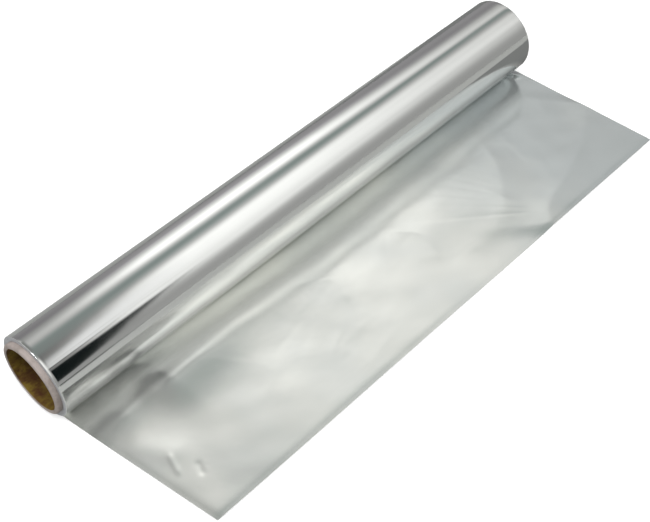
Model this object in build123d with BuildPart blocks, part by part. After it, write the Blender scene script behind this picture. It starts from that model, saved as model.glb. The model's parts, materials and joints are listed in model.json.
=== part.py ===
"""Household roll of aluminium foil, lying on its side with a short length pulled out.

Two pieces: the cardboard core, and the foil web, which is one strip from the
first turn on the core to the free edge of the length that lies on the table.

Frame: +X runs along the roll, +Z is up, and the pulled-out length lies towards -Y.
The origin is on the table, below the roll's axis and midway along the web.
"""
import os
from math import pi, sqrt

from build123d import *

# ---- driving sizes, mm ----------------------------------------------------
core_bore_radius = 15.0      # the hole right through the core
core_wall = 2.1              # spiral-wound board
core_stand_out = 2.4         # bare core at each end, past the edges of the foil
core_edge_break = 0.25       # the cut ends are slightly softened by handling

web_width = 300.0            # width of the foil strip
winding_build = 2.35         # foil wound on the core, first turn to last
winding_slack = 0.05         # the first turn lies this far off the board
winding_edge_round = 0.3     # the outermost turns' edges are rubbed round
foot_flat_depth = 0.1        # the soft turns press flat where the roll lies

sheet_thickness = 0.2        # a stand-in: the foil itself is about 0.015 thick
pull_left = 91.7             # pulled-out length along the left edge
pull_right = 94.5            # and along the right edge: the tear isn't square
sheet_side_shift = 1.5       # the last turn leaves the roll this far towards +X
left_edge_draw_in = 9.0      # the left edge slants in by this much at its corner

# ---- sizes that follow ----------------------------------------------------
core_radius = core_bore_radius + core_wall
core_length = web_width + 2 * core_stand_out
winding_inner_radius = core_radius + winding_slack
roll_radius = winding_inner_radius + winding_build
axis_height = roll_radius - foot_flat_depth

# Every turned section is drawn in this plane: its x runs along the roll and its
# y is the radius, measured from the roll's own axis.
roll_section = Plane(origin=(0, 0, axis_height), x_dir=(1, 0, 0), z_dir=(0, -1, 0))
roll_axis = Axis((0, 0, axis_height), (1, 0, 0))


# ---- cardboard core: a plain tube -----------------------------------------
with BuildPart() as cardboard_core:
    with BuildSketch(roll_section):
        with Locations((0, core_bore_radius)):
            Rectangle(core_length, core_wall, align=(Align.CENTER, Align.MIN))
    revolve(axis=roll_axis)
    end_rims = cardboard_core.edges().filter_by(GeomType.CIRCLE)
    chamfer(end_rims, core_edge_break)


# ---- foil web: the wound turns, and the length that lies on the table -----
left_root = -web_width / 2 + sheet_side_shift
right_root = web_width / 2 + sheet_side_shift

with BuildPart() as foil_web:
    with BuildSketch(roll_section) as wound_section:
        with Locations((0, winding_inner_radius)):
            Rectangle(web_width, winding_build, align=(Align.CENTER, Align.MIN))
        fillet(wound_section.vertices().group_by(Axis.Z)[-1], winding_edge_round)
    revolve(axis=roll_axis)

    with BuildSketch(Plane.XY):
        with BuildLine():
            Polyline(
                (left_root, 0),
                (left_root + left_edge_draw_in, -pull_left),
                (right_root, -pull_right),
                (right_root, 0),
                close=True,
            )
        make_face()
    extrude(amount=sheet_thickness)

    # The table cuts the foot flat, level with the underside of the sheet.
    split(bisect_by=Plane.XY, keep=Keep.TOP)


# ---- one STEP file a piece ------------------------------------------------
os.makedirs("parts", exist_ok=True)

cardboard_core.part.label = "cardboard_core"
export_step(cardboard_core.part, "parts/cardboard_core.step")

foil_web.part.label = "foil_web"
export_step(foil_web.part, "parts/foil_web.step")

foot_half_width = sqrt(roll_radius**2 - axis_height**2)
wound_section_area = pi * (roll_radius**2 - winding_inner_radius**2)
print(f"roll {2 * roll_radius:.2f} mm across, core {core_length:.1f} mm long")
print(f"foot flat {2 * foot_half_width:.2f} mm wide, wound section {wound_section_area:.1f} mm2")
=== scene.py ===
"""A roll of household aluminium foil, lying on its side with a short length pulled out.

The roll is dressed as three pieces: the cardboard core, the wound turns and the
pulled-out sheet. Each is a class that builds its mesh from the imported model's own
boxes and dresses it in its finish. The frame is the model's: +X along the roll, +Z
up, and the pulled-out foil towards -Y. Sizes are in metres, but for the ridges,
waves and buckles of the foil, which are given in mm.
"""
import json
import logging
import math
from dataclasses import dataclass, field
from enum import Enum
from typing import Callable, NamedTuple, Sequence

import bpy
import numpy as np
from mathutils import Matrix, Vector


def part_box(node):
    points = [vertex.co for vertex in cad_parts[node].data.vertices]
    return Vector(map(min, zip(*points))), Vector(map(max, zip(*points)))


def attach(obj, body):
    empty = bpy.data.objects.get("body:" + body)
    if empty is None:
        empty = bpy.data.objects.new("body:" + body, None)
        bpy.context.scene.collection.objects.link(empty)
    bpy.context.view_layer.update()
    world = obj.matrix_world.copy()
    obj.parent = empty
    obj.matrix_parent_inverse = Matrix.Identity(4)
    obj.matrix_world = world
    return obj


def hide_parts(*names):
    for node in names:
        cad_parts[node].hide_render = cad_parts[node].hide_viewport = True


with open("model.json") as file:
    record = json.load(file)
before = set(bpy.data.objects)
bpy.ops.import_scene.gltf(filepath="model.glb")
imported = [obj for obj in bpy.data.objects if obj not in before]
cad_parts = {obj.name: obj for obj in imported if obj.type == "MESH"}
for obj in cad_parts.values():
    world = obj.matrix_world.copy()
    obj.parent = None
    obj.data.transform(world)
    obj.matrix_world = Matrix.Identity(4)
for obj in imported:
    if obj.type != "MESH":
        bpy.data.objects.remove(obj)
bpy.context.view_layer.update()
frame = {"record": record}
MM = 0.001
SHARP_EDGE = math.radians(50)
LOG = logging.getLogger("foil_roll")

Colour = tuple[float, float, float]
BLACK: Colour = (0.0, 0.0, 0.0)
WHITE: Colour = (1.0, 1.0, 1.0)


class Slot(Enum):
    """The record's material slots."""

    FOIL = "foil"
    CORE = "core_board"


class Slope(NamedTuple):
    """A smooth step between two levels, as what is read goes from low to high."""

    low: float
    high: float
    before: float = 0.0
    after: float = 1.0


class Window(NamedTuple):
    """A soft-edged range, which fades in from start to full and out from thin to gone."""

    start: float
    full: float
    thin: float
    gone: float


class SectionPoint(NamedTuple):
    """A point of a turned piece's section, and whether it is on a face of the second finish."""

    x: float
    radius: float
    second: int


# ---------------------------------------------------------------------------
# Node and mesh helpers
# ---------------------------------------------------------------------------
class Graph:
    """A node tree that is filled in one short line a node."""

    def __init__(self, tree: bpy.types.NodeTree) -> None:
        """Wraps a node tree.

        Args:
            tree: the tree that nodes are added to.
        """
        self.tree = tree

    def add(self, kind: str, settings: dict | None = None, **sockets: object) -> bpy.types.Node:
        """Adds a node and fills in its inputs.

        Args:
            kind: the node's type name.
            settings: attributes of the node itself, such as its operation.
            **sockets: an input's name, with blanks as underscores, or its place as
                in i0, and a value or an output socket for it.

        Returns:
            The new node.
        """
        node = self.tree.nodes.new(kind)
        for name, value in (settings or {}).items():
            setattr(node, name, value)
        for name, value in sockets.items():
            place = name[1:]
            key = int(place) if name[0] == "i" and place.isdigit() else name.replace("_", " ")
            self.feed(node.inputs[key], value)
        return node

    def feed(self, socket: bpy.types.NodeSocket, value: object) -> None:
        """Links an output to a socket, or sets the socket's own value.

        Args:
            socket: the input to fill.
            value: an output socket, a number, or a colour or vector.
        """
        if isinstance(value, bpy.types.NodeSocket):
            self.tree.links.new(value, socket)
        elif socket.type == "RGBA" and len(value) == 3:
            socket.default_value = (*value, 1.0)
        else:
            socket.default_value = value

    def math(self, operation: str, a: object, b: object = 0.0, clamp: bool = False) -> bpy.types.NodeSocket:
        """One Math node.

        Args:
            operation: the node's operation.
            a: its first input.
            b: its second input.
            clamp: True to keep the result from 0 to 1.

        Returns:
            The node's output.
        """
        settings = {"operation": operation, "use_clamp": clamp}
        return self.add("ShaderNodeMath", settings, i0=a, i1=b).outputs[0]

    def product(self, first: object, *others: object) -> object:
        """Multiplies values.

        Args:
            first: the first value.
            *others: the values that it is multiplied by.

        Returns:
            The product's output.
        """
        for other in others:
            first = self.math("MULTIPLY", first, other)
        return first

    def mix(self, share: object, a: object, b: object) -> bpy.types.NodeSocket:
        """Mixes two colours.

        Args:
            share: 0 for the first colour and 1 for the second.
            a: the first colour.
            b: the second colour.

        Returns:
            The mixed colour.
        """
        return self.add("ShaderNodeMix", {"data_type": "RGBA"}, i0=share, i6=a, i7=b).outputs[2]

    def remap(self, value: object, slope: Slope) -> bpy.types.NodeSocket:
        """Turns a value into a level on a slope.

        Args:
            value: what is read.
            slope: the smooth step that it is read on.

        Returns:
            The level.
        """
        low, high, before, after = slope
        settings = {"interpolation_type": "SMOOTHSTEP"}
        node = self.add("ShaderNodeMapRange", settings, i0=value, i1=low, i2=high, i3=before, i4=after)
        return node.outputs[0]

    def window(self, value: object, window: Window) -> bpy.types.NodeSocket:
        """Turns a value into a mask.

        Args:
            value: what is read.
            window: the range that shows.

        Returns:
            1 inside the range and 0 outside it.
        """
        rise = self.remap(value, Slope(window.start, window.full))
        return self.math("MULTIPLY", rise, self.remap(value, Slope(window.thin, window.gone, 1.0, 0.0)))

    def noise(
        self, vector: object, scale: object, detail: float = 3.0, roughness: float = 0.5
    ) -> bpy.types.NodeSocket:
        """A noise texture's value.

        Args:
            vector: where it is read.
            scale: its scale.
            detail: how many octaves it has.
            roughness: how strong the fine octaves are.

        Returns:
            Its value, from about 0.2 to 0.8.
        """
        sockets = {"Vector": vector, "Scale": scale, "Detail": detail, "Roughness": roughness}
        return self.add("ShaderNodeTexNoise", **sockets).outputs[0]

    def place(self) -> bpy.types.NodeSocket:
        """Where a point lies in the model, in metres."""
        return self.add("ShaderNodeTexCoord").outputs["Object"]

    def stretch(self, vector: object, scale: tuple[float, float, float]) -> bpy.types.NodeSocket:
        """Scales a vector along each axis.

        Args:
            vector: what is scaled.
            scale: its scale along X, Y and Z.

        Returns:
            The scaled vector.
        """
        return self.add("ShaderNodeMapping", Vector=vector, Scale=scale).outputs[0]

    def ramp(self, value: object, stops: Sequence[tuple[float, Colour]]) -> bpy.types.NodeSocket:
        """A smooth colour ramp.

        Args:
            value: where the ramp is read.
            stops: each stop's place, from 0 to 1, and its colour.

        Returns:
            The ramp's colour.
        """
        node = self.add("ShaderNodeValToRGB", Fac=value)
        bands = node.color_ramp
        bands.interpolation = "CARDINAL"
        while len(bands.elements) > 1:
            bands.elements.remove(bands.elements[0])
        for index, (place, colour) in enumerate(stops):
            stop = bands.elements[0] if index == 0 else bands.elements.new(place)
            stop.position = place
            stop.color = (*colour, 1.0)
        return node.outputs[0]


def new_material(name: str) -> tuple[bpy.types.Material, Graph, bpy.types.Node]:
    """A material with one Principled BSDF.

    Args:
        name: the material's name.

    Returns:
        The material, its graph and its shader.
    """
    material = bpy.data.materials.new(name)
    material.use_nodes = True
    return material, Graph(material.node_tree), material.node_tree.nodes["Principled BSDF"]


def new_group(name: str, inputs: dict[str, float], outputs: Sequence[str]) -> Graph:
    """A shader node group with named inputs and outputs.

    Args:
        name: the group's name.
        inputs: each number it takes, with its usual value.
        outputs: the name of each number it gives.

    Returns:
        The group's graph, whose tree holds a group input node and a group output node.
    """
    tree = bpy.data.node_groups.new(name, "ShaderNodeTree")
    for label, value in inputs.items():
        socket = tree.interface.new_socket(label, in_out="INPUT", socket_type="NodeSocketFloat")
        socket.default_value = value
    for label in outputs:
        tree.interface.new_socket(label, in_out="OUTPUT", socket_type="NodeSocketFloat")
    tree.nodes.new("NodeGroupInput")
    tree.nodes.new("NodeGroupOutput")
    return Graph(tree)


def sheet_of_quads(rows: int, columns: int, closed: bool) -> np.ndarray:
    """The faces of a grid of points.

    Args:
        rows: how many rows of points there are.
        columns: how many points a row has.
        closed: True if the last row joins the first, and each row's ends join.

    Returns:
        Four point numbers a face.
    """
    i = np.arange(rows if closed else rows - 1)[:, None]
    j = np.arange(columns if closed else columns - 1)[None, :]
    i2, j2 = (i + 1) % rows, (j + 1) % columns
    corners = [i * columns + j, i * columns + j2, i2 * columns + j2, i2 * columns + j]
    return np.stack([c.ravel() for c in np.broadcast_arrays(*corners)], axis=1)


def make_object(name: str, points: np.ndarray, faces: np.ndarray) -> bpy.types.Object:
    """A smooth-shaded mesh object.

    Args:
        name: the object's name.
        points: its points, in metres.
        faces: four point numbers a face, in the order that turns it outwards.

    Returns:
        The object, linked to the scene.
    """
    mesh = bpy.data.meshes.new(name)
    mesh.from_pydata(points.reshape(-1, 3).tolist(), [], faces.tolist())
    mesh.update()
    mesh.shade_smooth()
    mesh.set_sharp_from_angle(angle=SHARP_EDGE)
    piece = bpy.data.objects.new(name, mesh)
    bpy.context.scene.collection.objects.link(piece)
    return piece


def section_arrays(section: Sequence[SectionPoint]) -> tuple[np.ndarray, np.ndarray]:
    """A section's places and radii, each as a column.

    Args:
        section: the section's points.

    Returns:
        The places along the roll, and the radii.
    """
    x = np.array([point.x for point in section])[:, None]
    radius = np.array([point.radius for point in section])[:, None]
    return x, radius


def mark_second_finish(piece: bpy.types.Object, section: Sequence[SectionPoint], around: int) -> None:
    """Gives a turned piece's second material to the faces between two marked points.

    Args:
        piece: the piece, whose faces follow its section's points.
        section: the section's points.
        around: how many faces go round at each point.
    """
    marks = np.array([point.second for point in section])
    marked = (marks + np.roll(marks, -1)) == 2
    piece.data.polygons.foreach_set("material_index", np.repeat(marked.astype(np.int32), around))


def smooth(value: np.ndarray, low: float, high: float) -> np.ndarray:
    """0 before low, 1 after high, and a smooth step between them."""
    t = np.clip((value - low) / (high - low), 0.0, 1.0)
    return t * t * (3 - 2 * t)


@dataclass(frozen=True)
class Waves:
    """A smooth random relief, the same each time for one seed.

    Attributes:
        seed: the number that its draws start from.
        count: how many waves are added up.
        shortest: the shortest wavelength, in the units that it is read in.
        longest: the longest wavelength.
        height: how far it swings each way, in mm.
        stretch: how much the two coordinates are scaled before it is read.
        middle: its mean level, as a share of its height.
    """

    seed: int
    count: int
    shortest: float
    longest: float
    height: float
    stretch: tuple[float, float] = (1.0, 1.0)
    middle: float = 0.0

    def draw(self) -> Callable[[np.ndarray, np.ndarray], np.ndarray]:
        """Draws the waves.

        Returns:
            A function of two coordinates that gives about -1 to 1.
        """
        draw = np.random.default_rng(self.seed)
        heading = draw.uniform(0, math.tau, self.count)
        pitch = math.tau / draw.uniform(self.shortest, self.longest, self.count)
        phase = draw.uniform(0, math.tau, self.count)
        waves = list(zip(pitch, heading, phase))

        def level(u: np.ndarray, v: np.ndarray) -> np.ndarray:
            """The waves' level at (u, v)."""
            total = sum(np.sin(k * (u * math.cos(a) + v * math.sin(a)) + p) for k, a, p in waves)
            return total / math.sqrt(self.count / 2) / 2

        return level

    def at(self, u: np.ndarray, v: np.ndarray) -> np.ndarray:
        """The relief's height at (u, v), in mm."""
        return self.height * (self.middle + self.draw()(u * self.stretch[0], v * self.stretch[1]))


# ---------------------------------------------------------------------------
# Effects that more than one finish uses
# ---------------------------------------------------------------------------
def rolling_lines_group() -> bpy.types.NodeTree:
    """Fine lines of the rolling mill, which run along the strip and so round the roll.

    Returns:
        A group with the input Fineness, and the outputs Height, for a bump, and Haze,
        for the roughness, which both swing about 0.
    """
    lines_a_metre = (2600.0, 14.0, 14.0)
    patches_a_metre = (26.0, 40.0, 40.0)
    graph = new_group("rolling_lines", {"Fineness": 1.0}, ("Height", "Haze"))
    given, result = graph.tree.nodes["Group Input"], graph.tree.nodes["Group Output"]
    place = graph.place()
    lines = graph.noise(graph.stretch(place, lines_a_metre), given.outputs["Fineness"], 4.0, 0.6)
    patches = graph.noise(graph.stretch(place, patches_a_metre), 1.0, 2.0)
    graph.feed(result.inputs["Height"], graph.math("SUBTRACT", lines, 0.5))
    graph.feed(result.inputs["Haze"], graph.math("SUBTRACT", patches, 0.5))
    return graph.tree


def handling_dents_group() -> bpy.types.NodeTree:
    """Soft dents and faint crinkles that thin foil takes from handling.

    Returns:
        A group with the inputs Size, in dents a metre, and Crinkle, the finer dents'
        share, and the output Height for a bump.
    """
    finer_by = 5.0
    graph = new_group("handling_dents", {"Size": 60.0, "Crinkle": 0.3}, ("Height",))
    given, result = graph.tree.nodes["Group Input"], graph.tree.nodes["Group Output"]
    place = graph.place()
    soft = graph.noise(place, given.outputs["Size"], 1.0)
    fine = graph.noise(place, graph.math("MULTIPLY", given.outputs["Size"], finer_by), 2.0)
    crinkle = graph.math("MULTIPLY", fine, given.outputs["Crinkle"])
    graph.feed(result.inputs["Height"], graph.math("ADD", soft, crinkle))
    return graph.tree


# ---------------------------------------------------------------------------
# Finishes
# ---------------------------------------------------------------------------
@dataclass(frozen=True)
class BrightFoil:
    """The mirror-bright outer face of the foil.

    Attributes:
        name: the material's name.
        metal: the metal's colour.
        metallic: how far it is bare metal.
        roughness: how soft its reflections are.
        haze: how much its rolled patches change the roughness.
        fineness: how close its rolling lines are.
        line_strength: how much the lines tilt its reflections.
        line_depth: the lines' depth.
        dents: how many dents a metre holds.
        crinkle: the finer dents' share.
        dent_depth: the dents' depth.
    """

    name: str = "bright_foil"
    metal: Colour = (0.90, 0.91, 0.90)
    metallic: float = 1.0
    roughness: float = 0.105
    haze: float = 0.16
    fineness: float = 1.0
    line_strength: float = 0.35
    line_depth: float = 0.004 * MM
    dents: float = 42.0
    crinkle: float = 0.04
    dent_depth: float = 0.12 * MM

    def colour(self, graph: Graph) -> object:
        """The face's colour: the plain metal all over."""
        return self.metal

    def material(self, lines: bpy.types.NodeTree, dents: bpy.types.NodeTree) -> bpy.types.Material:
        """Builds the material.

        Args:
            lines: the rolling lines' group.
            dents: the handling dents' group.

        Returns:
            The material.
        """
        material, graph, shader = new_material(self.name)
        rolled = graph.add("ShaderNodeGroup", {"node_tree": lines}, Fineness=self.fineness)
        dented = graph.add("ShaderNodeGroup", {"node_tree": dents}, Size=self.dents, Crinkle=self.crinkle)
        fine = graph.add(
            "ShaderNodeBump",
            Strength=self.line_strength,
            Distance=self.line_depth,
            Height=rolled.outputs["Height"],
        )
        soft = graph.add(
            "ShaderNodeBump",
            Strength=0.5,
            Distance=self.dent_depth,
            Height=dented.outputs["Height"],
            Normal=fine.outputs[0],
        )
        haze = graph.math("MULTIPLY", rolled.outputs["Haze"], self.haze)
        shader.inputs["Metallic"].default_value = self.metallic
        graph.feed(shader.inputs["Base Color"], self.colour(graph))
        graph.feed(shader.inputs["Roughness"], graph.math("ADD", haze, self.roughness, clamp=True))
        graph.feed(shader.inputs["Normal"], soft.outputs[0])
        return material


@dataclass(frozen=True)
class SatinFoil(BrightFoil):
    """The satin inner face of the foil, with a cool tint in patches, and painted shade that darkens and cools
    it towards its far end.

    Attributes:
        cool_patches_and_far_shade: the colour of the cool patches, and of the painted shade at the far end.
        patches_a_metre: how many cool patches a metre holds.
        patches: the cool patches' share, read on the patches' noise.
        far_end_painted_shade: the painted shade's share along the roll, in metres, growing towards the far
            end.
    """

    name: str = "satin_foil"
    metal: Colour = (0.94, 0.95, 0.91)
    metallic: float = 0.88
    roughness: float = 0.21
    haze: float = 0.2
    fineness: float = 0.8
    line_strength: float = 0.4
    line_depth: float = 0.006 * MM
    dents: float = 34.0
    crinkle: float = 0.15
    dent_depth: float = 0.3 * MM
    # The colour of the cool patches, and also of the painted shade at the sheet's far end.
    cool_patches_and_far_shade: Colour = (0.69, 0.73, 0.735)
    patches_a_metre: float = 22.0
    patches: Slope = Slope(0.35, 0.65, 0.0, 0.3)
    # Painted shade: the sheet turns darker and cooler towards its far end, along X.
    far_end_painted_shade: Slope = Slope(0.03, 0.12, 0.0, 0.9)

    def colour(self, graph: Graph) -> object:
        """The face's colour: the metal, with its cool patches and the painted shade towards its far end.

        Args:
            graph: the material's graph.

        Returns:
            The colour's output.
        """
        place = graph.place()
        patches = graph.remap(graph.noise(place, self.patches_a_metre, 2.0), self.patches)
        along = graph.add("ShaderNodeSeparateXYZ", Vector=place).outputs["X"]
        # The cool patches, plus painted shade that darkens the sheet towards its far end.
        tint = graph.math("ADD", patches, graph.remap(along, self.far_end_painted_shade))
        return graph.mix(tint, self.metal, self.cool_patches_and_far_shade)


@dataclass(frozen=True)
class StackedEdges:
    """The edges of the wound turns, seen end on: satin metal with fine rings."""

    metal: Colour = (0.62, 0.63, 0.66)
    gap: Colour = (0.30, 0.31, 0.33)
    roughness: float = 0.42
    rings_a_metre: float = 5200.0
    ring_depth: float = 0.05 * MM
    scuffs_a_metre: float = 900.0
    scuff_share: float = 0.4
    shade: Slope = Slope(0.45, 0.85)

    def material(self, axis_height: float) -> bpy.types.Material:
        """Builds the material.

        Args:
            axis_height: the height of the roll's axis, which the rings go round.

        Returns:
            The material.
        """
        material, graph, shader = new_material("stacked_edges")
        place = graph.place()
        moved = graph.add("ShaderNodeMapping", Vector=place, Location=(0.0, 0.0, -axis_height))
        parts = graph.add("ShaderNodeSeparateXYZ", Vector=moved.outputs[0])
        y, z = parts.outputs["Y"], parts.outputs["Z"]
        radius = graph.math("SQRT", graph.math("ADD", graph.product(y, y), graph.product(z, z)))
        ring_place = graph.add("ShaderNodeCombineXYZ", X=graph.product(radius, self.rings_a_metre))
        rings = graph.noise(ring_place.outputs[0], 1.0, 3.0, 0.7)
        scuffs = graph.product(graph.noise(place, self.scuffs_a_metre), self.scuff_share)
        shade = graph.remap(graph.math("ADD", rings, scuffs), self.shade)
        bump = graph.add("ShaderNodeBump", Strength=0.7, Distance=self.ring_depth, Height=rings)
        shader.inputs["Metallic"].default_value = 0.5
        shader.inputs["Roughness"].default_value = self.roughness
        graph.feed(shader.inputs["Base Color"], graph.mix(shade, self.gap, self.metal))
        graph.feed(shader.inputs["Normal"], bump.outputs[0])
        return material


@dataclass(frozen=True)
class KraftBoard:
    """Spiral-wound kraft board, with a matte fibrous face, and painted shade that can darken it deep in the
    bore.

    Attributes:
        name: the material's name.
        light: the board's colour. The default browns are kept dark, partly as painted shade for the bore.
        dark: the colour of its mottle and flecks.
        roughness: how matte it is.
        fibre_depth: how far its fibres stand out.
        deep_shade_colour: the painted shade's colour deep in the bore.
        deep_shade_share: how far the board is turned to that colour there.
        deep_shade_fade: where the painted shade fades out towards the open ends, from the roll's middle, in
            metres.
    """

    name: str = "kraft_board"
    # The bore's browns, kept darker than the bare board, partly as painted shade inside the bore.
    light: Colour = (0.24, 0.165, 0.028)
    dark: Colour = (0.10, 0.042, 0.018)
    roughness: float = 0.82
    fibre_depth: float = 0.12 * MM
    # Painted shade: a dark maroon that the bore's board turns to, away from the tube's open ends.
    deep_shade_colour: Colour = (0.09, 0.017, 0.009)
    deep_shade_share: float = 0.85
    deep_shade_fade: tuple[float, float] = (0.133, 0.148)
    mottles_a_metre: float = 160.0
    flecks_a_metre: float = 1500.0
    fibres_a_metre: tuple[float, float, float] = (500.0, 1900.0, 1900.0)
    fibre_share: float = 0.3
    tone: Slope = Slope(0.36, 0.62)
    flecks: Slope = Slope(0.62, 0.72, 0.0, 0.5)

    def material(self) -> bpy.types.Material:
        """Builds the material.

        Returns:
            The material.
        """
        material, graph, shader = new_material(self.name)
        place = graph.place()
        mottle = graph.noise(place, self.mottles_a_metre, 5.0, 0.65)
        fibres = graph.noise(graph.stretch(place, self.fibres_a_metre), 1.0, 4.0, 0.7)
        flecks = graph.noise(place, self.flecks_a_metre, 2.0)
        mottled = graph.product(mottle, 1 - self.fibre_share)
        blend = graph.math("ADD", mottled, graph.product(fibres, self.fibre_share))
        board = graph.mix(graph.remap(blend, self.tone), self.dark, self.light)
        flecked = graph.mix(graph.remap(flecks, self.flecks), board, self.dark)
        # Painted shade: the board turns towards the dark maroon away from the open ends, deep in the bore.
        depth = graph.math("ABSOLUTE", graph.add("ShaderNodeSeparateXYZ", Vector=place).outputs["X"])
        deep_shade_share = graph.remap(depth, Slope(*self.deep_shade_fade, self.deep_shade_share, 0.0))
        bump = graph.add("ShaderNodeBump", Strength=0.6, Distance=self.fibre_depth, Height=fibres)
        shader.inputs["Roughness"].default_value = self.roughness
        shader.inputs["Specular IOR Level"].default_value = 0.25
        graph.feed(shader.inputs["Base Color"], graph.mix(deep_shade_share, flecked, self.deep_shade_colour))
        graph.feed(shader.inputs["Normal"], bump.outputs[0])
        return material


# ---------------------------------------------------------------------------
# The core
# ---------------------------------------------------------------------------
@dataclass
class CardboardCore:
    """The spiral-wound board tube that the foil is wound on.

    Attributes:
        seam_pitch: how far the bore's seam moves along the tube in one turn.
        seam_depth: how deep the seam in the bore is.
        seam_width: how wide it is.
        outer_lip: how far the cut end is rounded towards the outside.
        inner_lip: how far it is rounded towards the bore.
        bare_start: where the straight outside starts, from each end.
        ply_groove: how deep the grooves between the plies are.
        plies: how many plies the cut end shows.
        swell: the bore's soft unevenness, read in radians and mm.
    """

    node: str = "cardboard_core"
    seam_pitch: float = 112.73 * MM
    seam_depth: float = 0.16 * MM
    seam_width: float = 0.7 * MM
    outer_lip: float = 1.15 * MM
    inner_lip: float = 0.3 * MM
    bare_start: float = 1.6 * MM
    ply_groove: float = 0.05 * MM
    plies: int = 3
    swell: Waves = Waves(5, 9, 1.4, 7.0, 0.042, (1.0, 1 / 12))
    around: int = 144
    along: int = 150
    bore: float = field(init=False)
    radius: float = field(init=False)
    axis_height: float = field(init=False)
    half_length: float = field(init=False)

    def __post_init__(self) -> None:
        """Reads the tube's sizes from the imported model."""
        low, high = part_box(self.node)
        mounts = {mount["name"]: mount for mount in frame["record"]["mounts"]}
        self.bore = mounts["core_bore"]["dims"]["r_mm"] * MM
        self.radius = (high[1] - low[1]) / 2
        self.axis_height = (high[2] + low[2]) / 2
        self.half_length = (high[0] - low[0]) / 2

    def section(self) -> list[SectionPoint]:
        """The tube's closed section, in the bore's brown board and the grey board elsewhere.

        Returns:
            The section's points, from the bore round the left end, the outside and the
            right end.
        """
        end, inner, outer = self.half_length, self.bore, self.radius
        lip, soft = self.outer_lip, self.inner_lip
        flare, flat = 1.6 * soft, 0.8 * lip
        inside = [SectionPoint(x, inner, 0) for x in np.linspace(end - flare, flare - end, self.along)]
        turned_in = [
            SectionPoint(-end + flare * (1 - math.sin(a)), inner + soft * (1 - math.cos(a)), 1)
            for a in np.linspace(0.3, 1.4, 4)
        ]
        wall = outer - inner - lip - soft
        cut = []
        for step in np.linspace(0, 1, 2 * self.plies + 1):
            groove = self.ply_groove * (1 - math.cos(step * self.plies * math.tau)) / 2
            cut.append(SectionPoint(-end + groove, inner + soft + step * wall, 1))
        turned_out = [
            SectionPoint(-end + flat * (1 - math.cos(a)), outer - lip * (1 - math.sin(a)), 1)
            for a in np.linspace(0.25, math.pi / 2, 7)
        ]
        left = turned_in + cut + turned_out
        bare = end - self.bare_start
        outside = [SectionPoint(x, outer, 1) for x in np.linspace(-bare, bare, self.along)]
        right = [SectionPoint(-point.x, point.radius, 1) for point in reversed(left)]
        return inside + left + outside + right

    def build(self) -> bpy.types.Object:
        """Builds the tube, with its rows twisted so that they follow the seam.

        Returns:
            The tube's object.
        """
        section = self.section()
        x, radius = section_arrays(section)
        turn = np.linspace(0, math.tau, self.around, endpoint=False)[None, :]
        from_seam = np.minimum(turn, math.tau - turn) * self.bore
        groove = self.seam_depth * np.exp(-((from_seam / self.seam_width) ** 2))
        uneven = groove + self.swell.at(turn, x / MM) * MM
        r = radius + np.where(np.isclose(radius, self.bore), uneven, 0.0)
        angle = turn + x / self.seam_pitch * math.tau
        wide_x = np.broadcast_to(x, r.shape)
        points = np.stack([wide_x, -r * np.sin(angle), self.axis_height + r * np.cos(angle)], axis=-1)
        piece = make_object("core_tube", points, sheet_of_quads(len(section), self.around, True))
        mark_second_finish(piece, section, self.around)
        return piece

    def dress(self, piece: bpy.types.Object) -> None:
        """Gives the tube its board finishes and its place in the model.

        Args:
            piece: the tube's object.
        """
        # The brown bore board carries painted shade deep inside; the grey board of the cut ends and outside
        # carries none.
        brown = KraftBoard()
        grey = KraftBoard("grey_board", (0.46, 0.40, 0.375), (0.33, 0.285, 0.26), 0.88, 0.25 * MM, deep_shade_share=0.0)
        piece.data.materials.append(brown.material())
        piece.data.materials.append(grey.material())
        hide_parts(self.node)
        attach(piece, "root")


# ---------------------------------------------------------------------------
# The wound turns
# ---------------------------------------------------------------------------
@dataclass(frozen=True)
class Ridge:
    """A fine crease that runs along the roll in its outer turns.

    Attributes:
        angle: where it lies round the roll, in degrees from the top towards -Y.
        width: how wide it is, in degrees.
        height: how far it stands out, in mm. A valley has a height below 0.
        start: where it fades in, as a share of the roll's length.
        stop: where it has faded out.
        drift: how far it wanders round the roll from end to end, in degrees.
    """

    angle: float
    width: float
    height: float
    start: float
    stop: float
    drift: float

    def lift(self, angle: np.ndarray, share: np.ndarray) -> np.ndarray:
        """Its height at each point.

        Args:
            angle: degrees from the top towards -Y.
            share: the place along the roll, from 0 to 1.

        Returns:
            The heights in mm.
        """
        centre = self.angle + self.drift * (share - 0.5)
        away = (angle - centre + 180.0) % 360.0 - 180.0
        seen = smooth(share, self.start, self.start + 0.12) * (1 - smooth(share, self.stop - 0.16, self.stop))
        return self.height * seen * np.exp(-((away / self.width) ** 2))


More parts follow.
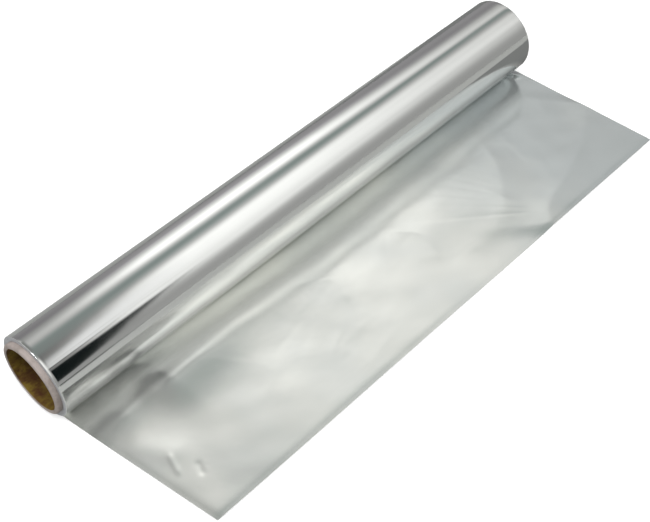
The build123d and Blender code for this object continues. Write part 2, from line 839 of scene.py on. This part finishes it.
@dataclass
class WoundFoil:
    """The turns of foil on the core.

    Attributes:
        slack: the room between the core and the first turn.
        edge_round: how far the outer turns' edges are rounded.
        foot_lift: how far the roll's foot lies above the table, on the pulled-out foil.
        spans: stretches round the roll, in degrees, and how many points each has.
        rings: how many steps an end face has.
        ring_step: how far a step may stand back or proud.
        last_turn_depth: how much lower the turn below the last one is.
        left_short: how far the last turn falls short at the left end, and where.
        right_short: the same at the right end.
        proud: the most that the relief may stand out.
        broad: the outer turn's soft waves, read in degrees and mm.
        fine: its finer waves.
        ridges: its creases.
    """

    core: CardboardCore
    node: str = "foil_web"
    slack: float = 0.05 * MM
    edge_round: float = 0.14 * MM
    foot_lift: float = 0.12 * MM
    spans: tuple[tuple[float, float, int], ...] = ((-180, 25, 150), (25, 85, 140), (85, 180, 90))
    along: int = 180
    rings: int = 12
    ring_step: tuple[float, float] = (-0.10 * MM, 0.02 * MM)
    last_turn_depth: float = 0.09 * MM
    left_short: tuple[float, float, float] = (2.6 * MM, 60.0, 112.0)
    right_short: tuple[float, float, float] = (2.2 * MM, -10.0, 40.0)
    proud: float = 0.08 * MM
    broad: Waves = Waves(21, 10, 40.0, 110.0, 0.018, (1.2, 0.55))
    fine: Waves = Waves(22, 12, 9.0, 26.0, 0.005, (1.0, 0.12))
    ridges: tuple[Ridge, ...] = (
        Ridge(41.2, 0.6, 0.020, -0.3, 0.24, 1.5),
        Ridge(38.2, 0.7, -0.012, -0.3, 0.30, 1.0),
        Ridge(63.0, 0.6, 0.065, -0.3, 0.30, -3.0),
        Ridge(67.0, 1.0, -0.016, 0.10, 0.42, 2.0),
        Ridge(70.5, 0.9, 0.014, 0.12, 0.55, 2.0),
        Ridge(74.0, 1.4, 0.020, 0.62, 1.02, -4.0),
        Ridge(79.0, 1.1, -0.014, 0.55, 0.95, -3.0),
        Ridge(-14.0, 2.5, 0.012, 0.1, 0.9, 3.0),
        Ridge(-38.0, 3.0, -0.015, -0.2, 1.2, 2.0),
        Ridge(128.0, 1.6, 0.020, 0.0, 0.7, 3.0),
        Ridge(160.0, 1.8, -0.020, 0.3, 1.2, -3.0),
        Ridge(-72.0, 1.4, 0.022, 0.1, 1.2, 4.0),
        Ridge(-97.0, 2.0, -0.022, -0.2, 0.8, -4.0),
        Ridge(-130.0, 1.5, 0.020, 0.2, 1.2, 2.0),
    )
    radius: float = field(init=False)
    half_width: float = field(init=False)
    bore: float = field(init=False)

    def __post_init__(self) -> None:
        """Reads the roll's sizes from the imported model."""
        low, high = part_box(self.node)
        self.radius = high[1]
        self.half_width = -low[0]
        self.bore = self.core.radius + self.slack

    def section(self) -> list[SectionPoint]:
        """The winding's closed section, with its end faces marked for the second finish.

        Returns:
            The section's points, from the outside round the right end, the inside and
            the left end.
        """
        end, outer, soft = self.half_width, self.radius, self.edge_round
        outside = [SectionPoint(x, outer, 0) for x in np.linspace(soft - end, end - soft, self.along)]
        turned = [
            SectionPoint(end - soft * (1 - math.sin(a)), outer - soft * (1 - math.cos(a)), 0)
            for a in np.linspace(math.pi / 12, math.pi / 2, 5)
        ]
        steps = np.random.default_rng(11).uniform(*self.ring_step, self.rings)
        half_step = 0.03 * MM
        face = []
        for radius, step in zip(np.linspace(outer - 1.3 * soft, self.bore, self.rings), steps):
            face.append(SectionPoint(end + step, radius + half_step, 1))
            face.append(SectionPoint(end + step, radius - half_step, 1))
        right = turned + face
        left = [SectionPoint(-point.x, point.radius, point.second) for point in reversed(right)]
        return outside + right + left

    def relief(self, angle: np.ndarray, x: np.ndarray) -> np.ndarray:
        """How far the outer turn stands from a true cylinder.

        Args:
            angle: degrees from the top towards -Y.
            x: the place along the roll, in metres.

        Returns:
            The offset in metres.
        """
        share = (x / self.half_width + 1) / 2
        total = self.broad.at(angle, x / MM) + self.fine.at(angle, x / MM)
        for ridge in self.ridges:
            total = total + ridge.lift(angle, share)
        return total * MM

    def last_turn(self, angle: np.ndarray, x: np.ndarray) -> np.ndarray:
        """The step down where the last turn falls short of the ends.

        Args:
            angle: degrees from the top towards -Y.
            x: the place along the roll, in metres.

        Returns:
            The drop in metres, outside the last turn's edges.
        """
        left_most, *left_span = self.left_short
        right_most, *right_span = self.right_short
        left = left_most * smooth(angle, *left_span) - self.half_width
        right = self.half_width - right_most * smooth(angle, *right_span)
        blend = 0.25 * MM
        outside = (1 - smooth(x, left - blend, left + blend)) + smooth(x, right - blend, right + blend)
        return self.last_turn_depth * outside

    def build(self) -> bpy.types.Object:
        """Builds the winding.

        Returns:
            The winding's object.
        """
        section = self.section()
        x, radius = section_arrays(section)
        turn = np.concatenate([np.linspace(*span, endpoint=False) for span in self.spans])[None, :]
        share = np.clip((radius - self.bore) / (self.radius - self.bore), 0.0, 1.0) ** 2
        grid_turn, grid_x = np.broadcast_arrays(turn, x)
        moved = self.relief(grid_turn, grid_x) - self.last_turn(grid_turn, grid_x)
        r = radius + share * np.minimum(moved, self.proud)
        angle = np.radians(turn)
        height = np.maximum(self.core.axis_height + r * np.cos(angle), self.foot_lift)
        points = np.stack([grid_x, -r * np.sin(angle), height], axis=-1)
        faces = sheet_of_quads(len(section), turn.size, True)[:, ::-1]
        piece = make_object("wound_turns", points, faces)
        mark_second_finish(piece, section, turn.size)
        return piece

    def dress(self, piece: bpy.types.Object, bright: bpy.types.Material) -> None:
        """Gives the winding its finishes and its place in the model.

        Args:
            piece: the winding's object.
            bright: the outer face's material.
        """
        piece.data.materials.append(bright)
        piece.data.materials.append(StackedEdges().material(self.core.axis_height))
        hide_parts(self.node)
        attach(piece, "root")


# ---------------------------------------------------------------------------
# The pulled-out sheet
# ---------------------------------------------------------------------------
class Crest(Enum):
    """How a buckle's crest is shaped."""

    ROUND = "round"
    SHARP = "sharp"


@dataclass(frozen=True)
class Buckle:
    """A soft fold or dent in the pulled-out sheet.

    Attributes:
        path: the points that its crest follows, in mm.
        height: how high it stands, in mm. A dip has a height below 0.
        left: how far its flank on the left of the path reaches, in mm.
        right: how far its other flank reaches, in mm.
        taper: how far it fades out beyond the path's ends, in mm.
        crest: whether it is rounded or creased.
    """

    path: tuple[tuple[float, float], ...]
    height: float
    left: float
    right: float
    taper: float = 8.0
    crest: Crest = Crest.ROUND

    def lift(self, x: np.ndarray, y: np.ndarray) -> np.ndarray:
        """Its height at each point.

        Args:
            x: places along the roll, in mm.
            y: places across the sheet, in mm.

        Returns:
            The heights in mm.
        """
        knots = self.smooth_path()
        start, step = knots[:-1], knots[1:] - knots[:-1]
        away = np.stack([x, y], axis=-1)[..., None, :] - start
        length = np.linalg.norm(step, axis=1)
        t = np.clip((away * step).sum(-1) / length**2, 0.0, 1.0)
        offset = away - t[..., None] * step
        nearest = np.linalg.norm(offset, axis=-1).argmin(axis=-1)[..., None]
        offset = np.take_along_axis(offset, nearest[..., None], axis=-2)[..., 0, :]
        along = step[nearest[..., 0]] / length[nearest[..., 0]][..., None]
        side = along[..., 0] * offset[..., 1] - along[..., 1] * offset[..., 0]
        beyond = np.abs((along * offset).sum(-1)) / self.taper
        across = np.where(side > 0, side / self.left, side / self.right)
        fall = across**2
        if self.crest is Crest.SHARP:
            softness = 0.063
            fall = np.sqrt(fall + softness**2) - softness
        return self.height * np.exp(-fall - beyond**2)

    def smooth_path(self) -> np.ndarray:
        """The path, with its corners cut three times over if it has any.

        Returns:
            The rounded path's points.
        """
        knots = np.array(self.path, float)
        for _ in range(3 if len(knots) > 2 else 0):
            cut = [0.75 * knots[:-1] + 0.25 * knots[1:], 0.25 * knots[:-1] + 0.75 * knots[1:]]
            middle = np.stack(cut, axis=1).reshape(-1, 2)
            knots = np.concatenate([knots[:1], middle, knots[-1:]])
        return knots


@dataclass(frozen=True)
class SmallCreases:
    """Short faint creases all over the sheet, the same each time, in mm.

    Attributes:
        seed: the number that the draws start from.
        count: how many there are.
        along: where they start along the roll.
        across: where they start across the sheet.
        heading: their usual heading from the roll's line, in radians, and its spread.
        turned: the share that lies at right angles to the others.
        length: how long they are.
        height: how far they stand out or in.
        flank: how far their flanks reach.
        taper: how far they fade out beyond their ends.
    """

    seed: int = 41
    count: int = 34
    along: tuple[float, float] = (-95, 145)
    across: tuple[float, float] = (-88, -30)
    heading: tuple[float, float] = (0.9, 0.6)
    turned: float = 0.35
    length: tuple[float, float] = (4, 13)
    height: tuple[float, float] = (0.015, 0.04)
    flank: tuple[float, float] = (1.2, 5.0)
    taper: float = 5.0

    def draw(self) -> list[Buckle]:
        """Draws the creases.

        Returns:
            A sharp buckle for each crease.
        """
        draw = np.random.default_rng(self.seed)
        creases = []
        for _ in range(self.count):
            x = draw.uniform(*self.along)
            y = draw.uniform(*self.across)
            heading = draw.normal(*self.heading) + (math.pi / 2 if draw.random() < self.turned else 0.0)
            length = draw.uniform(*self.length)
            end = (x + length * math.cos(heading), y + length * math.sin(heading))
            height = draw.uniform(*self.height) * draw.choice([-1.0, 1.0])
            flanks = draw.uniform(*self.flank, 2)
            creases.append(Buckle(((x, y), end), height, *flanks, self.taper, Crest.SHARP))
        return creases


@dataclass
class PulledSheet:
    """The length of foil that lies on the table.

    Attributes:
        thickness: how thick its skin is.
        left_length: how far it reaches from the roll's axis at its left edge.
        left_draw_in: how far the left edge slants in by its free corner.
        side_shift: how far the right edge lies past the roll's end, where it leaves it.
        right_draw_in: how far the right edge slants in by its free corner.
        under_roll: how far it starts behind the roll's axis.
        flat_start: how far from the axis it has left the roll's foot, in mm.
        edge_hold: how much less it lifts at its side and free edges.
        edge_width: how wide those edges are, in mm.
        slow: its broad waves.
        quick: its small waves.
        creases: its short faint creases.
        buckles: its folds and dents.
    """

    node: str = "foil_web"
    thickness: float = 0.06 * MM
    left_length: float = 91.7 * MM
    left_draw_in: float = 11.0 * MM
    side_shift: float = 2.6 * MM
    right_draw_in: float = 1.3 * MM
    under_roll: float = 2.0 * MM
    flat_start: float = 8.0
    edge_hold: tuple[float, float] = (0.15, 0.12)
    edge_width: float = 2.0
    columns: int = 380
    rows: int = 118
    slow: Waves = Waves(31, 12, 60.0, 150.0, 0.26, (1.0, 1.6), 1.9)
    quick: Waves = Waves(32, 18, 14.0, 40.0, 0.035, (1.0, 1.0), 1.9)
    creases: SmallCreases = SmallCreases()
    buckles: tuple[Buckle, ...] = (
        Buckle(((-130, 0), (-120, -5), (-112, -10), (-107, -18), (-106, -28)), 2.1, 44.0, 11.0, 14.0),
        Buckle(((-144, -3), (-136, -14), (-131, -26)), 0.7, 16.0, 9.0),
        Buckle(((-135, -96), (-30, -97)), 0.35, 16.0, 14.0, 30.0),
        Buckle(((-141, -58), (-139, -95)), 0.35, 16.0, 16.0, 14.0),
        Buckle(((-138, -44), (-131, -56)), 0.16, 6.0, 5.0, 5.0),
        Buckle(((-132.5, -58), (-134.5, -64)), 0.13, 1.1, 1.2, 2.0),
        Buckle(((-127, -68), (-128.5, -71.5)), -0.10, 1.2, 1.2, 1.5),
        Buckle(((153, -56), (132, -69), (105, -78), (80, -83), (72, -92)), 0.75, 13, 17, 6, Crest.SHARP),
        Buckle(((96, -30), (88, -50), (70, -66)), 0.3, 14.0, 10.0, 8.0, Crest.SHARP),
        Buckle(((40, -76), (66, -70)), 0.16, 8.0, 6.0),
        Buckle(((-30, -34), (-20, -40), (-24, -50)), 0.16, 4.0, 6.0, 6.0, Crest.SHARP),
        Buckle(((22, -44), (28, -52), (22, -64)), 0.16, 4.0, 6.0, 6.0, Crest.SHARP),
        Buckle(((147, -8), (149, -13)), 0.7, 1.6, 1.8, 2.5),
        Buckle(((142, -8), (143, -12)), 0.3, 1.4, 1.6, 2.5),
    )
    right_length: float = field(init=False)
    half_width: float = field(init=False)

    def __post_init__(self) -> None:
        """Reads the sheet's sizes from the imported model."""
        low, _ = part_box(self.node)
        self.right_length = -low[1]
        self.half_width = -low[0]

    def lift(self, x: np.ndarray, y: np.ndarray, left: np.ndarray) -> np.ndarray:
        """How far the sheet stands off the table.

        Args:
            x: places along the roll, in metres.
            y: places across the sheet, in metres.
            left: the left edge's place along the roll, at each point's y.

        Returns:
            The heights in metres.
        """
        mm_x, mm_y = x / MM, y / MM
        total = self.slow.at(mm_x, mm_y) + self.quick.at(mm_x, mm_y)
        for buckle in (*self.buckles, *self.creases.draw()):
            total = total + buckle.lift(mm_x, mm_y)
        side, front = (x - left) / MM, (self.reach(x) + y) / MM
        for hold, inwards in zip(self.edge_hold, (side, front)):
            total = total * (1 - hold * np.exp(-((inwards / self.edge_width) ** 2)))
        return np.maximum(total, 0.0) * smooth(-mm_y, 0.0, self.flat_start) * MM

    def reach(self, x: np.ndarray) -> np.ndarray:
        """How far the free edge lies from the roll's axis, in metres."""
        share = np.clip((x + self.half_width) / (2 * self.half_width), 0.0, 1.0)
        return self.left_length + (self.right_length - self.left_length) * share

    def build(self) -> bpy.types.Object:
        """Builds the sheet as a thin closed skin.

        Returns:
            The sheet's object.
        """
        s = np.linspace(0, 1, self.columns)[None, :]
        t = np.linspace(0, 1, self.rows)[:, None]
        left = np.broadcast_to(-self.half_width + self.left_draw_in * t, (self.rows, self.columns))
        right = self.half_width + self.side_shift - self.right_draw_in * t
        x = left + (right - left) * s
        y = self.under_roll - (self.reach(x) + self.under_roll) * t
        low = self.lift(x, y, left)
        top = np.stack([x, y, low + self.thickness], axis=-1)
        bottom = np.stack([x, y, low], axis=-1)
        points = np.concatenate([top.reshape(-1, 3), bottom.reshape(-1, 3)])
        return make_object("pulled_sheet", points, self.skin())

    def skin(self) -> np.ndarray:
        """The faces of the upper and lower layers of points, sewn together all round.

        Returns:
            Four point numbers a face: the upper layer, the lower one, then the rim.
        """
        layer = sheet_of_quads(self.rows, self.columns, False)
        below = self.rows * self.columns
        grid = np.arange(below).reshape(self.rows, self.columns)
        ring = np.concatenate([grid[0, :-1], grid[:-1, -1], grid[-1, :0:-1], grid[:0:-1, 0]])
        after = np.roll(ring, -1)
        rim = np.stack([ring, after, after + below, ring + below], axis=1)
        return np.concatenate([layer[:, ::-1], layer + below, rim])

    def dress(self, piece: bpy.types.Object, satin: bpy.types.Material, bright: bpy.types.Material) -> None:
        """Gives the sheet its satin upper and bright lower face, and its place in the model.

        Args:
            piece: the sheet's object.
            satin: the inner face's material, which lies upwards.
            bright: the outer face's material, which lies on the table.
        """
        piece.data.materials.append(satin)
        piece.data.materials.append(bright)
        faces = (self.rows - 1) * (self.columns - 1)
        side = np.zeros(len(piece.data.polygons), np.int32)
        side[faces : 2 * faces] = 1
        piece.data.polygons.foreach_set("material_index", side)
        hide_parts(self.node)
        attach(piece, "root")


# ---------------------------------------------------------------------------
# The studio
# ---------------------------------------------------------------------------
TEAL: Colour = (0.90, 1.0, 0.965)
LILAC: Colour = (1.0, 0.975, 1.0)


class Gaze(NamedTuple):
    """A direction in the studio: its X part, and its angle over the roll in degrees."""

    along: bpy.types.NodeSocket
    angle: bpy.types.NodeSocket


@dataclass(frozen=True)
class SkyBand:
    """How bright the studio is at one angle over the roll.

    Attributes:
        angle: degrees from straight up, towards the front, and below 0 to the back.
        level: the light there, where 1 is a plain softbox.
        dim: the light there outside the softboxes' ends.
        tint: the light's colour.
    """

    angle: float
    level: float
    dim: float
    tint: Colour = (1.0, 1.0, 0.98)

    def stop(self, level: float, top: float) -> tuple[float, Colour]:
        """The band as a stop of a colour ramp that runs from the back to the front."""
        return self.angle / 180 + 0.5, tuple(level / top * part for part in self.tint)


@dataclass(frozen=True)
class Card:
    """A soft-edged card in the studio, which shows in the foil.

    Attributes:
        along: where it lies along the roll, as the X part of a direction.
        angle: where it lies over the roll, in degrees.
        colour: the light that it gives.
    """

    along: Window
    angle: Window
    colour: Colour

    def hang(self, graph: Graph, light: object, gaze: Gaze, share: object) -> bpy.types.NodeSocket:
        """Hangs the card in front of the light.

        Args:
            graph: the world's graph.
            light: the light without it.
            gaze: the direction that is looked in.
            share: how much it hides of what is behind it.

        Returns:
            The light with it.
        """
        across, over = graph.window(gaze.along, self.along), graph.window(gaze.angle, self.angle)
        mask = graph.product(across, over, share)
        return graph.mix(mask, light, self.colour)


@dataclass(frozen=True)
class Flag:
    """A black card low at the front, whose edges slant towards each other along the roll.

    Attributes:
        lower: its lower edge's angle along the roll.
        upper: its upper edge's angle along the roll.
        soft: how soft those edges are, in degrees.
        along: where it lies along the roll.
        colour: the light that it gives.
    """

    lower: Slope = Slope(0.265, 0.40, 82.0, 55.0)
    upper: Slope = Slope(0.26, 0.36, 48.0, 51.5)
    soft: float = 3.0
    along: Window = Window(0.12, 0.16, 0.345, 0.42)
    colour: Colour = (0.003, 0.005, 0.005)

    def hang(self, graph: Graph, light: object, gaze: Gaze) -> bpy.types.NodeSocket:
        """Hangs the flag in front of the light.

        Args:
            graph: the world's graph.
            light: the light without it.
            gaze: the direction that is looked in.

        Returns:
            The light with it.
        """
        inside_upper = graph.math("SUBTRACT", gaze.angle, graph.remap(gaze.along, self.upper))
        inside_lower = graph.math("SUBTRACT", graph.remap(gaze.along, self.lower), gaze.angle)
        edge = Slope(0.0, self.soft)
        mask = graph.product(
            graph.remap(inside_upper, edge),
            graph.remap(inside_lower, edge),
            graph.window(gaze.along, self.along),
        )
        return graph.mix(mask, light, self.colour)


@dataclass
class Studio:
    """The floor, the soft light and the camera.

    The softboxes are bands of light over the roll. Their ends, and the cards and the
    flag between them, are placed by direction: the X part along the roll, and the
    angle over it. Light that reaches the eye by two mirrorings or more has been in
    the narrow gap between the roll and the sheet, and its level differs.

    Attributes:
        floor_in_foil: the floor as the foil mirrors it.
        floor_far_off: the same behind the roll and past its far end.
        floor_beside: how far the floor past the far end is the second one, along X.
        floor_before: the same along Y, from in front of the sheet.
        floor_behind: how far the floor behind the roll is the second one.
        top: the brightest light.
        backdrop: the light behind the object.
        diffuse_loss: how much of the sky's light is kept off matte faces.
        slant_along, slant_angle: how far the back bands turn, in degrees, and which.
        lean_along, lean_angle: the same for the top bands near the open end.
        back_ends, front_ends: how bright the softboxes are along the roll.
        front_from: which angles have the front softboxes' ends.
        open_end: how bright they are past the roll's open end.
        corner_*: a patch of plain light at the front softboxes' open end.
        second, third: the ray depths of the second and third mirroring, and the
            third one's level.
        second_level: the second mirroring's level at each angle.
        brim, brim_share: the light edge over the flag, and how strong it is.
        back_card, front_card: dark cards over the open end, which the sheet's dents show.
    """

    floor_colour: Colour = (0.9, 0.9, 0.9)
    floor_in_foil: Colour = (0.50, 0.505, 0.49)
    floor_far_off: Colour = (0.14, 0.145, 0.145)
    floor_beside: Slope = Slope(0.147, 0.160, 0.0, 0.75)
    floor_before: Slope = Slope(-0.13, -0.09)
    floor_behind: Slope = Slope(0.03, 0.12, 0.0, 0.4)
    floor_glow: float = 0.45
    floor_half: float = 4.0
    top: float = 1.4
    backdrop: float = 1.0
    diffuse_loss: float = 0.7
    azimuth: float = -44.73
    elevation: float = 46.78
    roll: float = -2.70
    aim: tuple[float, float, float] = (-15.0 * MM, -30.0 * MM, 0.0)
    distance: float = 519.6 * MM
    lens: float = 63.6
    bands: tuple[SkyBand, ...] = (
        SkyBand(-90, 0.27, 0.27, LILAC),
        SkyBand(-80, 0.30, 0.22, LILAC),
        SkyBand(-68, 0.42, 0.20, LILAC),
        SkyBand(-58, 0.76, 0.26),
        SkyBand(-49, 1.16, 0.32),
        SkyBand(-39, 1.28, 0.42),
        SkyBand(-30, 0.76, 0.42),
        SkyBand(-20, 0.34, 0.28, TEAL),
        SkyBand(-9, 0.33, 0.22, TEAL),
        SkyBand(1, 0.62, 0.17),
        SkyBand(10, 1.06, 0.20),
        SkyBand(22, 1.10, 0.25),
        SkyBand(34, 1.02, 0.46),
        SkyBand(44, 0.92, 0.25),
        SkyBand(53, 0.84, 0.17),
        SkyBand(62, 0.54, 0.27),
        SkyBand(73, 0.36, 0.30),
        SkyBand(90, 0.34, 0.30),
    )
    slant_along: Slope = Slope(0.46, 0.68, 0.0, 15.0)
    slant_angle: Slope = Slope(-26.0, -4.0, 1.0, 0.0)
    lean_along: Slope = Slope(0.26, 0.37, 9.0, 0.0)
    lean_angle: Window = Window(-12.0, 2.0, 28.0, 42.0)
    back_ends: tuple[tuple[float, float], ...] = (
        (0.00, 0.0), (0.25, 0.05), (0.31, 0.28), (0.37, 0.84), (0.44, 1.0),
        (0.51, 0.92), (0.58, 0.55), (0.64, 0.33), (0.70, 0.20), (1.00, 0.15),
    )
    front_ends: tuple[tuple[float, float], ...] = (
        (0.00, 0.0), (0.26, 0.0), (0.31, 0.30), (0.37, 0.90), (0.44, 1.0),
        (0.52, 0.92), (0.60, 0.70), (0.68, 0.53), (1.00, 0.40),
    )
    front_from: Slope = Slope(-18.0, -4.0)
    open_end: Slope = Slope(-0.06, 0.16, 0.92, 0.0)
    corner_angle: Window = Window(8.0, 22.0, 35.0, 43.0)
    corner_rise: Slope = Slope(0.22, 0.30, 0.25, 0.8)
    corner_fall: Slope = Slope(0.33, 0.42, 1.0, 0.0)
    corner_level: float = 0.88
    second: Slope = Slope(2.2, 2.8)
    second_level: Slope = Slope(2.0, 75.0, 0.50, 1.46)
    third: Slope = Slope(3.2, 3.8, 1.0, 0.80)
    brim: Card = Card(Window(0.28, 0.34, 0.35, 0.41), Window(45.0, 47.0, 48.5, 50.5), (0.75, 0.75, 0.74))
    brim_share: float = 0.85
    back_card: Card = Card(Window(-0.26, -0.12, 0.07, 0.24), Window(-56, -48, -16, -8), (0.15, 0.155, 0.15))
    front_card: Card = Card(Window(-0.26, -0.12, 0.07, 0.24), Window(34, 46, 175, 180), (0.04, 0.042, 0.04))

    def softboxes(self, graph: Graph, gaze: Gaze) -> bpy.types.NodeSocket:
        """The long softboxes over the roll, with their ends.

        Args:
            graph: the world's graph.
            gaze: the direction that is looked in.

        Returns:
            Their light.
        """
        along, angle = gaze
        slant = graph.product(graph.remap(along, self.slant_along), graph.remap(angle, self.slant_angle))
        lean = graph.product(graph.remap(along, self.lean_along), graph.window(angle, self.lean_angle))
        read = graph.math("SUBTRACT", graph.math("SUBTRACT", angle, slant), lean)
        place = graph.math("ADD", graph.math("DIVIDE", read, 180.0), 0.5)
        lit = graph.ramp(place, [band.stop(band.level, self.top) for band in self.bands])
        dim = graph.ramp(place, [band.stop(band.dim, self.top) for band in self.bands])
        ends = graph.mix(
            graph.remap(angle, self.front_from),
            graph.ramp(along, [(stop, (share,) * 3) for stop, share in self.back_ends]),
            graph.ramp(along, [(stop, (share,) * 3) for stop, share in self.front_ends]),
        )
        shown = graph.math("MAXIMUM", ends, graph.remap(along, self.open_end))
        glow = graph.mix(shown, dim, lit)
        start, full, thin, gone = self.corner_angle
        corner = graph.product(
            graph.remap(read, Slope(start, full)),
            graph.remap(angle, Slope(thin, gone, 1.0, 0.0)),
            graph.remap(along, self.corner_rise),
            graph.remap(along, self.corner_fall),
        )
        return graph.mix(corner, glow, (self.corner_level / self.top,) * 3)

    def sky(self) -> None:
        """Fills the world with the softboxes, and hangs the cards and the flag in them."""
        world = bpy.data.worlds.new("studio")
        world.use_nodes = True
        bpy.context.scene.world = world
        graph = Graph(world.node_tree)
        way = graph.add("ShaderNodeTexCoord").outputs["Generated"]
        parts = graph.add("ShaderNodeSeparateXYZ", Vector=way)
        front = graph.product(parts.outputs["Y"], -1.0)
        angle = graph.math("DEGREES", graph.math("ARCTAN2", front, parts.outputs["Z"]))
        gaze = Gaze(parts.outputs["X"], angle)

        ray = graph.add("ShaderNodeLightPath")
        again = graph.remap(ray.outputs["Ray Depth"], self.second)
        change = graph.math("SUBTRACT", graph.remap(angle, self.second_level), 1.0)
        level = graph.math("ADD", 1.0, graph.product(again, change))
        gain = graph.product(graph.remap(ray.outputs["Ray Depth"], self.third), level)
        glow = self.softboxes(graph, gaze)
        light = graph.add("ShaderNodeVectorMath", {"operation": "SCALE"}, i0=glow, Scale=gain).outputs[0]
        light = Flag().hang(graph, light, gaze)
        light = self.brim.hang(graph, light, gaze, self.brim_share)
        light = self.back_card.hang(graph, light, gaze, 1.0)
        light = self.front_card.hang(graph, light, gaze, again)
        light = graph.mix(graph.product(ray.outputs["Is Diffuse Ray"], self.diffuse_loss), light, BLACK)
        shown = graph.mix(ray.outputs["Is Camera Ray"], light, (self.backdrop / self.top,) * 3)
        background = world.node_tree.nodes["Background"]
        graph.feed(background.inputs["Color"], shown)
        background.inputs["Strength"].default_value = self.top

    def floor(self) -> None:
        """A plain pale floor, which shines less in the foil than to the eye."""
        half, drop = self.floor_half, -0.1 * MM
        corners = [(-half, -half, drop), (half, -half, drop), (half, half, drop), (-half, half, drop)]
        piece = make_object("studio_floor", np.array(corners), np.array([[0, 1, 2, 3]]))
        material, graph, shader = new_material("studio_floor")
        shader.inputs["Roughness"].default_value = 0.9
        shader.inputs["Specular IOR Level"].default_value = 0.1
        seen = graph.add("ShaderNodeLightPath").outputs["Is Camera Ray"]
        place = graph.add("ShaderNodeSeparateXYZ", Vector=graph.place())
        x, y = place.outputs["X"], place.outputs["Y"]
        beside = graph.product(graph.remap(x, self.floor_beside), graph.remap(y, self.floor_before))
        far_off = graph.math("MAXIMUM", beside, graph.remap(y, self.floor_behind))
        mirrored = graph.mix(far_off, self.floor_in_foil, self.floor_far_off)
        graph.feed(shader.inputs["Base Color"], graph.mix(seen, mirrored, self.floor_colour))
        graph.feed(shader.inputs["Emission Color"], graph.mix(seen, BLACK, WHITE))
        shader.inputs["Emission Strength"].default_value = self.floor_glow
        piece.data.materials.append(material)

    def open_end_lamp(self) -> None:
        """A soft square lamp off the roll's open end, which lights its edges and bore."""
        data = bpy.data.lights.new("open_end", "AREA")
        data.size, data.energy = 0.25, 3.2
        lamp = bpy.data.objects.new("open_end", data)
        lamp.location = (-0.85, 0.15, 0.62)
        lamp.rotation_euler = (Vector(self.aim) - lamp.location).to_track_quat("-Z", "Y").to_euler()
        lamp.visible_camera = False
        bpy.context.scene.collection.objects.link(lamp)

    def daylight(self) -> None:
        """A broad overhead light from in front of the roll, which the foil doesn't mirror."""
        data = bpy.data.lights.new("daylight", "SUN")
        data.energy, data.angle = 2.1, math.radians(36)
        lamp = bpy.data.objects.new("daylight", data)
        lamp.rotation_euler = Vector((0.05, 0.34, -1.0)).to_track_quat("-Z", "Y").to_euler()
        lamp.visible_glossy = False
        bpy.context.scene.collection.objects.link(lamp)

    def camera(self) -> None:
        """The camera, which looks down at the roll from its open end."""
        az, el, tilt = (math.radians(a) for a in (self.azimuth, self.elevation, self.roll))
        back = Vector((math.sin(az) * math.cos(el), -math.cos(az) * math.cos(el), math.sin(el)))
        level = Vector((0, 0, 1)).cross(back).normalized()
        upright = back.cross(level)
        right = math.cos(tilt) * level + math.sin(tilt) * upright
        up = back.cross(right)
        data = bpy.data.cameras.new("camera")
        data.lens, data.sensor_width = self.lens, 36.0
        camera = bpy.data.objects.new("camera", data)
        turn = Matrix((right, up, back)).transposed().to_4x4()
        camera.matrix_world = Matrix.Translation(Vector(self.aim) + back * self.distance) @ turn
        bpy.context.scene.collection.objects.link(camera)
        bpy.context.scene.camera = camera

    def build(self) -> None:
        """Builds the whole studio."""
        self.camera()
        self.sky()
        self.floor()
        self.daylight()
        self.open_end_lamp()
        bpy.context.scene.view_settings.view_transform = "Standard"


def report(piece: bpy.types.Object) -> None:
    """Logs a piece's name and size."""
    LOG.info("%s: %d points, %d faces", piece.name, len(piece.data.vertices), len(piece.data.polygons))


def main() -> None:
    """Builds the studio and the roll, and reports each piece."""
    logging.basicConfig(level=logging.INFO, format="%(message)s")
    Studio().build()
    lines, dents = rolling_lines_group(), handling_dents_group()
    bright = BrightFoil().material(lines, dents)
    satin = SatinFoil().material(lines, dents)

    core = CardboardCore()
    tube = core.build()
    core.dress(tube)
    report(tube)

    winding = WoundFoil(core)
    turns = winding.build()
    winding.dress(turns, bright)
    report(turns)

    pulled = PulledSheet()
    sheet = pulled.build()
    pulled.dress(sheet, satin, bright)
    report(sheet)


if __name__ == "__main__":
    main()
